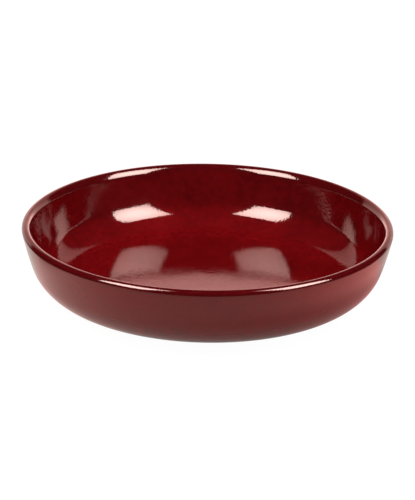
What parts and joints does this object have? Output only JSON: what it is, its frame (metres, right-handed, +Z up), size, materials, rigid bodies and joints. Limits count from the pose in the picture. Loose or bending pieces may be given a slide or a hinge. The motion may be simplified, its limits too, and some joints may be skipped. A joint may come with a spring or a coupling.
{
  "type": "deep round dish",
  "caption": "Deep round stoneware dish: full-round lip, wall leaning outwards, wide cove, gently dished floor and low foot ring, under one glossy red glaze.",
  "frame": {"origin": "centre of the foot ring's standing face, on the surface the dish stands on", "axes": "+Z up along the axis the dish is turned about; X and Y are level and interchangeable"},
  "size_m": [0.22, 0.22, 0.047],
  "materials": {
    "stoneware": "matte",
    "red_glaze": "gloss"
  },
  "bodies": {
    "root": {"stoneware_body": "stoneware", "glaze_coat": "red_glaze", "foot_recess_glaze": "red_glaze"}
  },
  "joints": []
}
